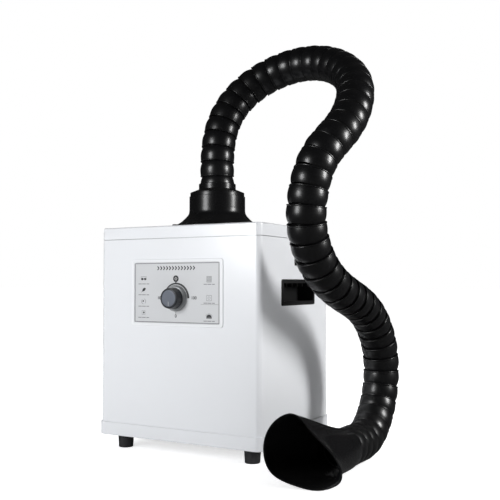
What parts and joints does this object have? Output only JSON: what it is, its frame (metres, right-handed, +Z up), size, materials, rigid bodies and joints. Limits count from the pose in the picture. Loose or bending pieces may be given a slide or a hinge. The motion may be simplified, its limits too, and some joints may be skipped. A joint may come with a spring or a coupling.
{
  "type": "solder fume extractor",
  "caption": "Bench-top fume extractor: steel cabinet with filters and a blower, and a self-supporting duct of ball-jointed cups that ends in a flared hood.",
  "frame": {"origin": "middle of the cabinet's four feet, in the plane of their flat bottoms", "axes": "+Z up, -Y out of the front with the speed knob, +X out of the side with the power switch"},
  "size_m": [0.4859, 0.3526, 0.7138],
  "materials": {
    "body_paint": "satin",
    "frame_steel": "satin",
    "screw_steel": "gloss",
    "flange_screw_black": "satin",
    "foot_rubber": "matte",
    "duct_plastic": "gloss",
    "port_plastic": "satin",
    "hood_plastic": "gloss",
    "fitting_plastic": "satin",
    "switch_plastic": "gloss",
    "knob_cap_plastic": "satin",
    "knob_skirt_plastic": "satin",
    "label_film": "satin",
    "bezel_plastic": "satin",
    "potentiometer_metal": "satin",
    "filter_board": "matte",
    "filter_paper": "matte",
    "carbon_block": "matte",
    "filter_foam": "matte",
    "blower_plastic": "matte",
    "motor_aluminium": "satin",
    "circuit_board": "satin"
  },
  "bodies": {
    "cabinet": {"case_shell": "body_paint", "top_cover": "body_paint", "base_tray": "body_paint", "rear_panel": "body_paint", "upper_frame": "frame_steel", "filter_shelf": "frame_steel", "blower_posts": "frame_steel", "rear_panel_screws": "screw_steel", "cover_screws": "screw_steel", "foot_screws": "screw_steel", "power_inlet_screws": "screw_steel", "potentiometer_nut": "screw_steel", "port_flange_screws": "flange_screw_black", "rubber_feet": "foot_rubber", "flange_gasket": "foot_rubber", "port_flange": "port_plastic", "reducer_cap": "port_plastic", "handle_right": "fitting_plastic", "handle_left": "fitting_plastic", "power_inlet": "fitting_plastic", "rocker_housing": "switch_plastic", "label_plate": "label_film", "label_bezel": "bezel_plastic", "speed_potentiometer": "potentiometer_metal", "hepa_filter_frame": "filter_board", "carbon_filter_frame": "filter_board", "hepa_filter_pleats": "filter_paper", "carbon_filter_core": "carbon_block", "pre_filter": "filter_foam", "inlet_cone": "blower_plastic", "blower_housing": "blower_plastic", "motor": "motor_aluminium", "control_board": "circuit_board"},
    "knob": {"control_knob": "knob_cap_plastic", "knob_skirt": "knob_skirt_plastic", "potentiometer_shaft": "potentiometer_metal"},
    "rocker_body": {"rocker": "switch_plastic"},
    "fan": {"impeller": "blower_plastic", "motor_shaft": "screw_steel"},
    "duct_base": {"duct_spigot": "duct_plastic"},
    "hood_body": {"hood_neck": "hood_plastic", "hood": "hood_plastic"},
    "duct_01": {"duct_section_01": "duct_plastic"},
    "duct_02": {"duct_section_02": "duct_plastic"},
    "duct_03": {"duct_section_03": "duct_plastic"},
    "duct_04": {"duct_section_04": "duct_plastic"},
    "duct_05": {"duct_section_05": "duct_plastic"},
    "duct_06": {"duct_section_06": "duct_plastic"},
    "duct_07": {"duct_section_07": "duct_plastic"},
    "duct_08": {"duct_section_08": "duct_plastic"},
    "duct_09": {"duct_section_09": "duct_plastic"},
    "duct_10": {"duct_section_10": "duct_plastic"},
    "duct_11": {"duct_section_11": "duct_plastic"},
    "duct_12": {"duct_section_12": "duct_plastic"},
    "duct_13": {"duct_section_13": "duct_plastic"},
    "duct_14": {"duct_section_14": "duct_plastic"},
    "duct_15": {"duct_section_15": "duct_plastic"},
    "duct_16": {"duct_section_16": "duct_plastic"},
    "duct_17": {"duct_section_17": "duct_plastic"}
  },
  "joints": [
    {"name": "duct_swivel", "type": "hinge", "parent": "cabinet", "child": "duct_base", "pos_m": [0, 0, 0.467], "axis": [0, 0, 1], "range_deg": [-180, 180]},
    {"name": "duct_tilt_01", "type": "hinge", "parent": "duct_base", "child": "duct_01", "pos_m": [0, 0, 0.467], "axis": [0.7931, -0.6089, -0.0139], "range_deg": [-15, 15]},
    {"name": "duct_tilt_02", "type": "hinge", "parent": "duct_01", "child": "duct_02", "pos_m": [0.00061, 0.00394, 0.54469], "axis": [0.7849, -0.6156, 0.0703], "range_deg": [-10, 17]},
    {"name": "duct_tilt_03", "type": "hinge", "parent": "duct_02", "child": "duct_03", "pos_m": [0.01719, 0.02807, 0.61629], "axis": [0.729, -0.6801, -0.0773], "range_deg": [-7, 17]},
    {"name": "duct_tilt_04", "type": "hinge", "parent": "duct_03", "child": "duct_04", "pos_m": [0.07011, 0.05308, 0.66612], "axis": [0.135, 0.7642, -0.6307], "range_deg": [-17, 6]},
    {"name": "duct_tilt_05", "type": "hinge", "parent": "duct_04", "child": "duct_05", "pos_m": [0.14519, 0.05742, 0.68302], "axis": [0.0137, -0.0015, 0.9999], "range_deg": [-8, 17]},
    {"name": "duct_tilt_06", "type": "hinge", "parent": "duct_05", "child": "duct_06", "pos_m": [0.21716, 0.03679, 0.66465], "axis": [-0.5788, -0.6938, -0.4285], "range_deg": [-8, 17]},
    {"name": "duct_tilt_07", "type": "hinge", "parent": "duct_06", "child": "duct_07", "pos_m": [0.26702, -0.00321, 0.62106], "axis": [-0.0001, -0.7391, 0.6736], "range_deg": [-7, 17]},
    {"name": "duct_tilt_08", "type": "hinge", "parent": "duct_07", "child": "duct_08", "pos_m": [0.28512, -0.05363, 0.56504], "axis": [0.9951, -0.0401, 0.0903], "range_deg": [-15, 16]},
    {"name": "duct_tilt_09", "type": "hinge", "parent": "duct_08", "child": "duct_09", "pos_m": [0.27332, -0.10569, 0.50881], "axis": [-0.0464, -0.729, 0.683], "range_deg": [-7, 17]},
    {"name": "duct_tilt_10", "type": "hinge", "parent": "duct_09", "child": "duct_10", "pos_m": [0.25319, -0.1423, 0.44412], "axis": [0.9632, 0.1695, -0.2087], "range_deg": [-17, 7]},
    {"name": "duct_tilt_11", "type": "hinge", "parent": "duct_10", "child": "duct_11", "pos_m": [0.24557, -0.13939, 0.36761], "axis": [0.2945, -0.9015, -0.317], "range_deg": [-12, 7]},
    {"name": "duct_tilt_12", "type": "hinge", "parent": "duct_11", "child": "duct_12", "pos_m": [0.25184, -0.09537, 0.3045], "axis": [0.9873, -0.0397, 0.1541], "range_deg": [-17, 7]},
    {"name": "duct_tilt_13", "type": "hinge", "parent": "duct_12", "child": "duct_13", "pos_m": [0.26265, -0.02754, 0.26837], "axis": [0.0087, -0.3537, -0.9353], "range_deg": [-16, 17]},
    {"name": "duct_tilt_14", "type": "hinge", "parent": "duct_13", "child": "duct_14", "pos_m": [0.27097, 0.04303, 0.23675], "axis": [0.0091, 0.5686, 0.8226], "range_deg": [-15, 13]},
    {"name": "duct_tilt_15", "type": "hinge", "parent": "duct_14", "child": "duct_15", "pos_m": [0.2748, 0.09134, 0.17705], "axis": [0.0247, 0.9372, 0.3478], "range_deg": [-12, 10]},
    {"name": "duct_tilt_16", "type": "hinge", "parent": "duct_15", "child": "duct_16", "pos_m": [0.27429, 0.09229, 0.10037], "axis": [-0.0231, -0.9415, 0.3363], "range_deg": [-10, 8]},
    {"name": "duct_tilt_17", "type": "hinge", "parent": "duct_16", "child": "duct_17", "pos_m": [0.27439, 0.04131, 0.0435], "axis": [-0.0138, -0.4594, 0.8881], "range_deg": [-11, 10]},
    {"name": "hood_tilt", "type": "hinge", "parent": "duct_17", "child": "hood_body", "pos_m": [0.27701, -0.06086, 0.03392], "axis": [0.0013, -0.0333, -0.9994], "range_deg": [-17, 17]},
    {"name": "speed_knob_turn", "type": "hinge", "parent": "cabinet", "child": "knob", "pos_m": [0, -0.14, 0.263], "axis": [0, -1, 0], "range_deg": [-135, 135]},
    {"name": "power_rocker_tip", "type": "hinge", "parent": "cabinet", "child": "rocker_body", "pos_m": [0.158, 0.004, 0.3335], "axis": [0, -1, 0], "range_deg": [0, 12]},
    {"name": "impeller_spin", "type": "hinge", "parent": "cabinet", "child": "fan", "pos_m": [0, 0, 0.15], "axis": [0, 0, 1], "continuous": true}
  ]
}
